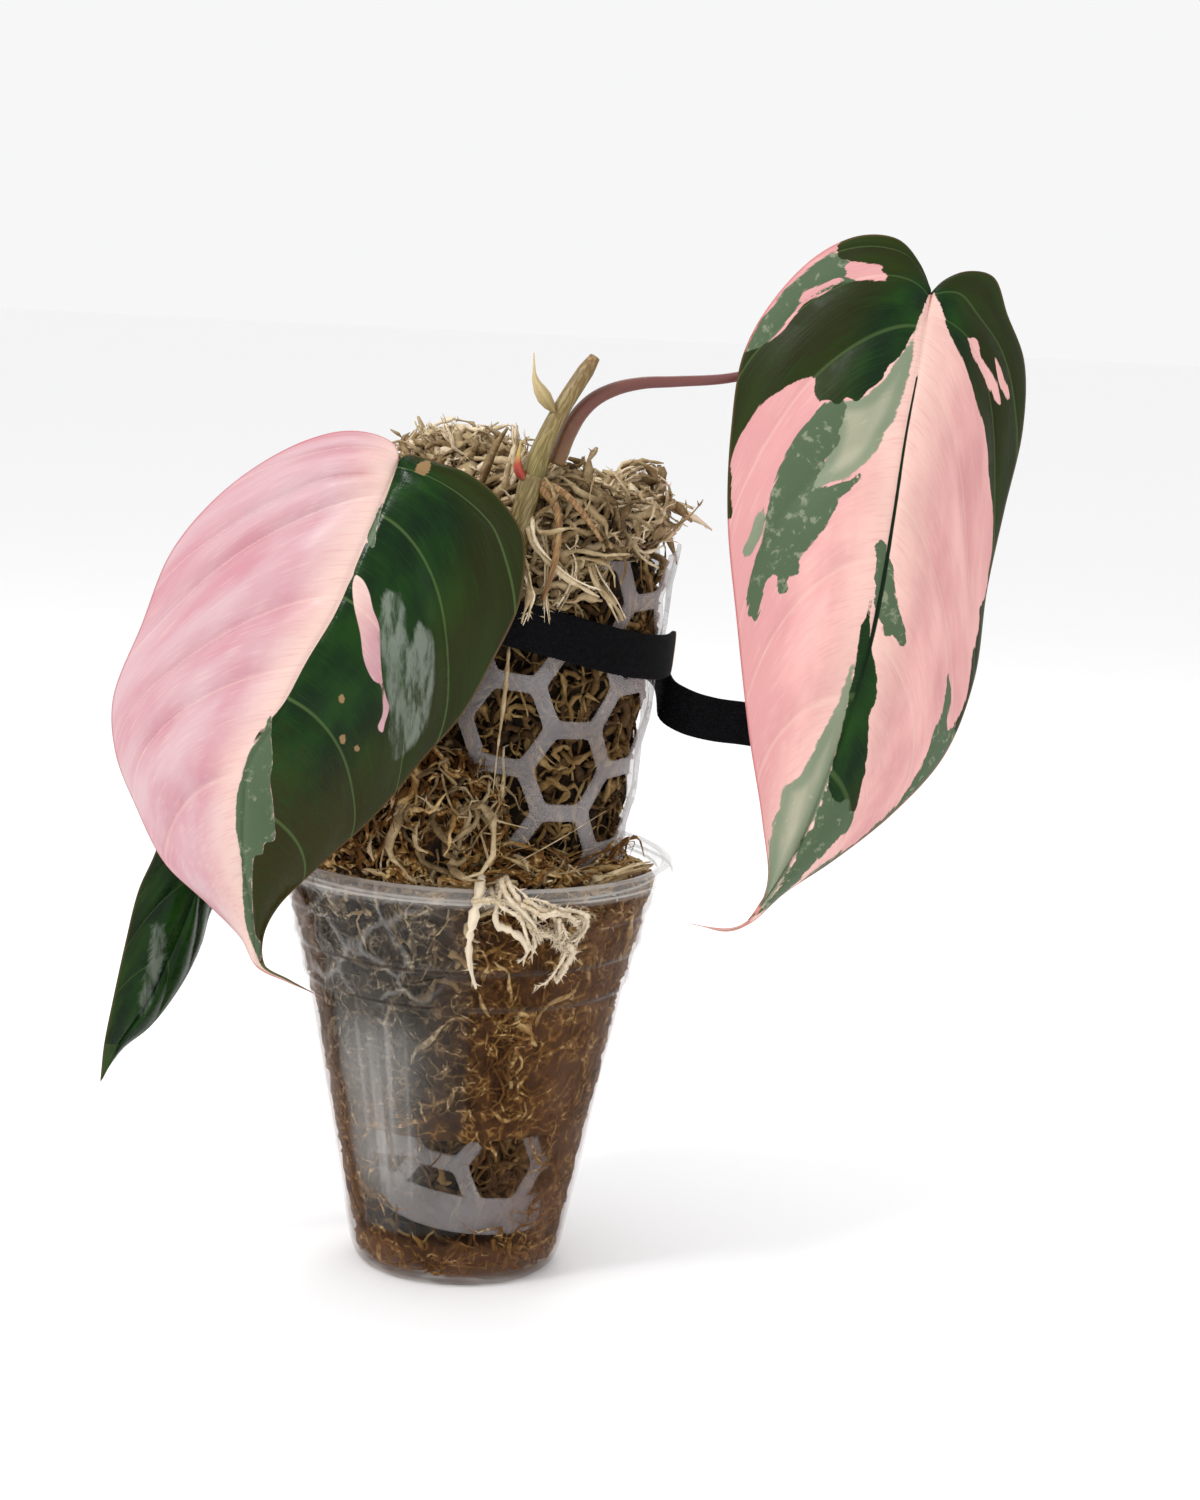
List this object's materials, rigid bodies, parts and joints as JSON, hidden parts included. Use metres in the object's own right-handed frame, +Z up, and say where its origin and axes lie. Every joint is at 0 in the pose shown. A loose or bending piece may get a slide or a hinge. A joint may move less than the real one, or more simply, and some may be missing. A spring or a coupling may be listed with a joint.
{
  "type": "potted pink variegated micans philodendron",
  "caption": "Climbing aroid with velvety pink and green heart leaves, strapped to a leaning tube of holed plastic sheet packed with moss and standing in a clear drink cup.",
  "frame": {"origin": "centre of the cup's base, on the surface that it stands on", "axes": "+Z up; the front, where the two large leaves face, is -Y; +X is to the right seen from the front"},
  "size_m": [0.2057, 0.1219, 0.2509],
  "materials": {
    "clear_plastic": "clear, glossy",
    "milky_plastic": "milky, half gloss",
    "tape": "napped hook and loop webbing",
    "stem": "ridged, dull",
    "bud": "waxy",
    "bract": "papery",
    "petiole": "waxy",
    "leaf_pink": "velvety with a low sheen",
    "leaf_green": "velvety with a low sheen",
    "dry_moss": "matte, stringy",
    "wet_moss": "damp, stringy"
  },
  "bodies": {
    "root": {"cup": "clear_plastic", "pole_sheet": "milky_plastic", "strap": "tape", "stem": "stem", "bud": "bud", "bract": "bract", "petiole_right": "petiole", "petiole_left": "petiole", "petiole_back": "petiole", "leaf_right": "leaf_pink", "leaf_left": "leaf_pink", "leaf_back": "leaf_green", "pole_moss": "dry_moss", "cup_moss": "wet_moss"}
  },
  "joints": []
}
